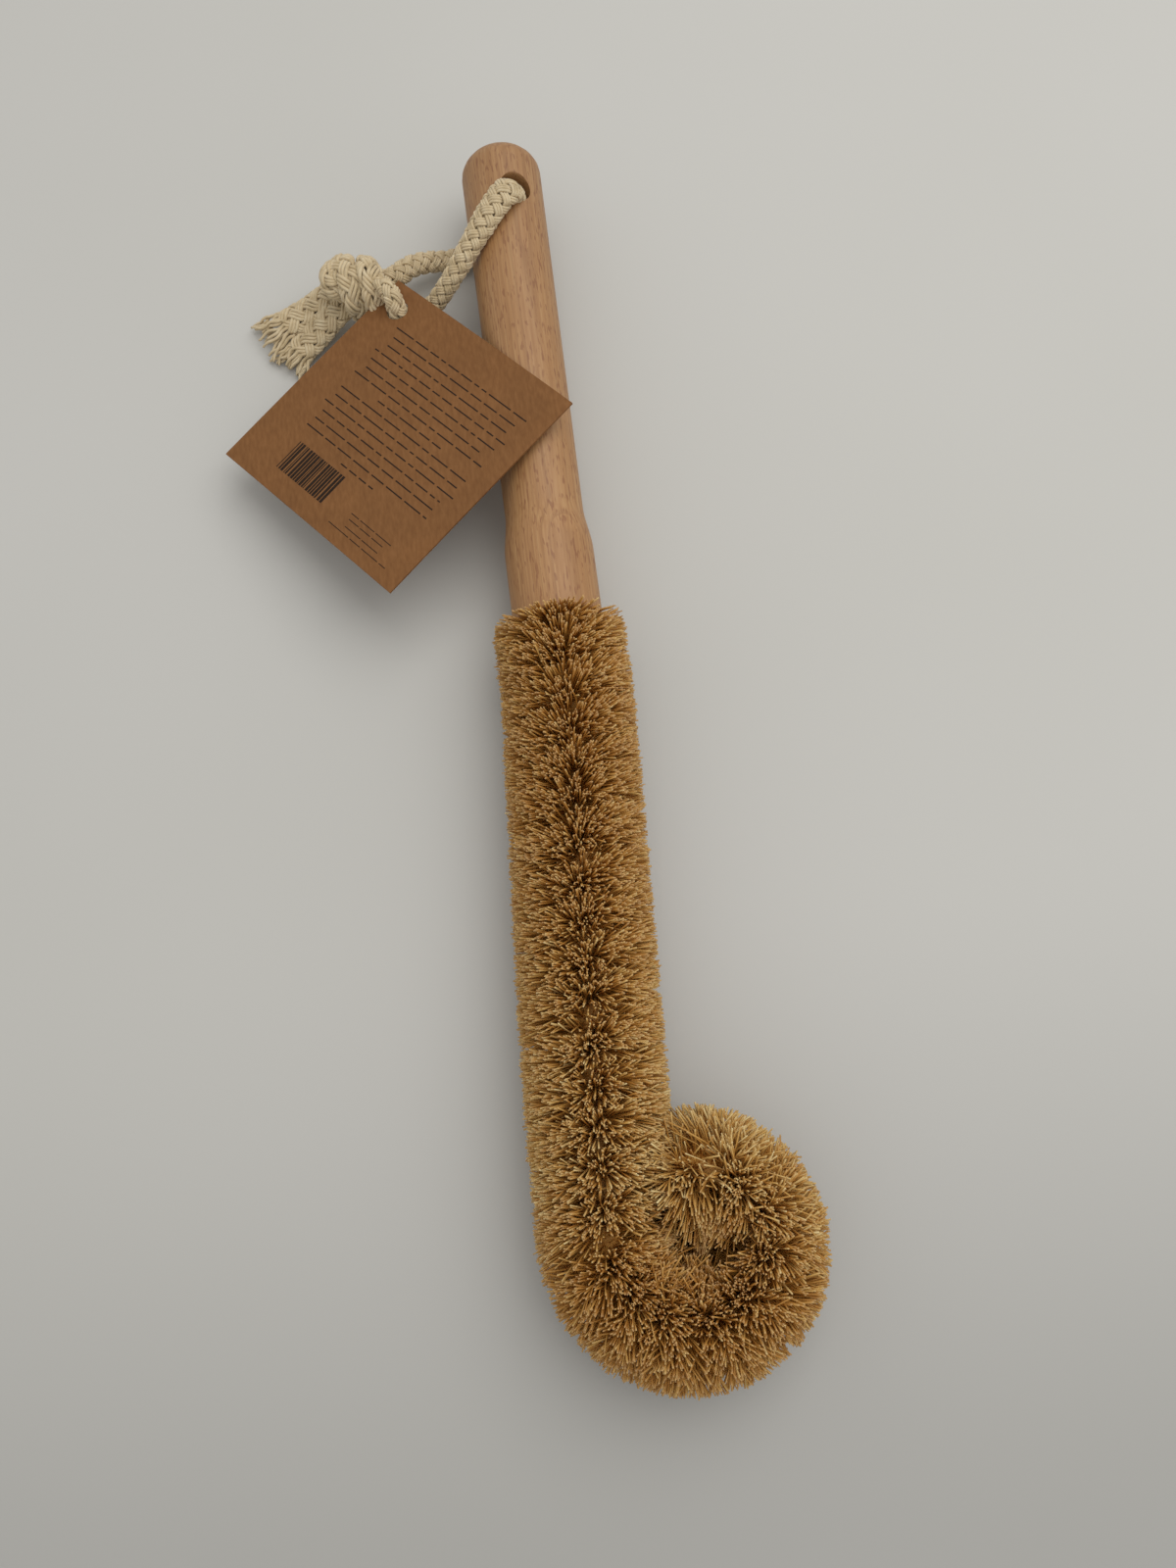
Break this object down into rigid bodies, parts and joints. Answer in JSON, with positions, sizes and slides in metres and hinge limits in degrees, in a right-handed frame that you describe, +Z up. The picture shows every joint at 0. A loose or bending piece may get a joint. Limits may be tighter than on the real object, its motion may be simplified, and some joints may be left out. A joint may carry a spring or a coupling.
{
  "type": "bottle brush",
  "caption": "Bottle brush: a turned wooden handle, a twisted wire stem of coir bristles that curls round at the tip, and a knotted cotton hanging cord with a card tag.",
  "frame": {"origin": "on the surface that the brush lies on, under the middle of the brush without its cord and tag", "axes": "+Y along the handle towards its tail, +Z up from the surface, +X to the side that the curl turns to"},
  "size_m": [0.1409, 0.363, 0.0373],
  "materials": {
    "beech": "satin",
    "galvanised_wire": "satin",
    "adhesive": "satin",
    "coir": "matte",
    "cotton": "matte",
    "kraft_card": "matte"
  },
  "bodies": {
    "brush": {"handle": "beech", "stem_adhesive": "adhesive", "stem_wire_1": "galvanised_wire", "stem_wire_2": "galvanised_wire", "bristles_shank_upper": "coir", "bristles_shank_lower": "coir", "bristles_bend": "coir", "bristles_curl": "coir"},
    "hang_loop": {"hang_cord": "cotton", "hang_cord_knot": "cotton", "hang_cord_tail_1": "cotton", "hang_cord_tail_2": "cotton"},
    "tag": {"tag": "kraft_card"}
  },
  "joints": [
    {"name": "loop_swing", "type": "hinge", "parent": "brush", "child": "hang_loop", "pos_m": [-0.01116, 0.16006, 0.0183], "axis": [-0.309, 0, -0.9511], "range_deg": [0, 45]},
    {"name": "tag_lift", "type": "hinge", "parent": "hang_loop", "child": "tag", "pos_m": [-0.04743, 0.12779, 0.02144], "axis": [-0.752, 0.6281, -0.2], "range_deg": [0, 20]}
  ]
}
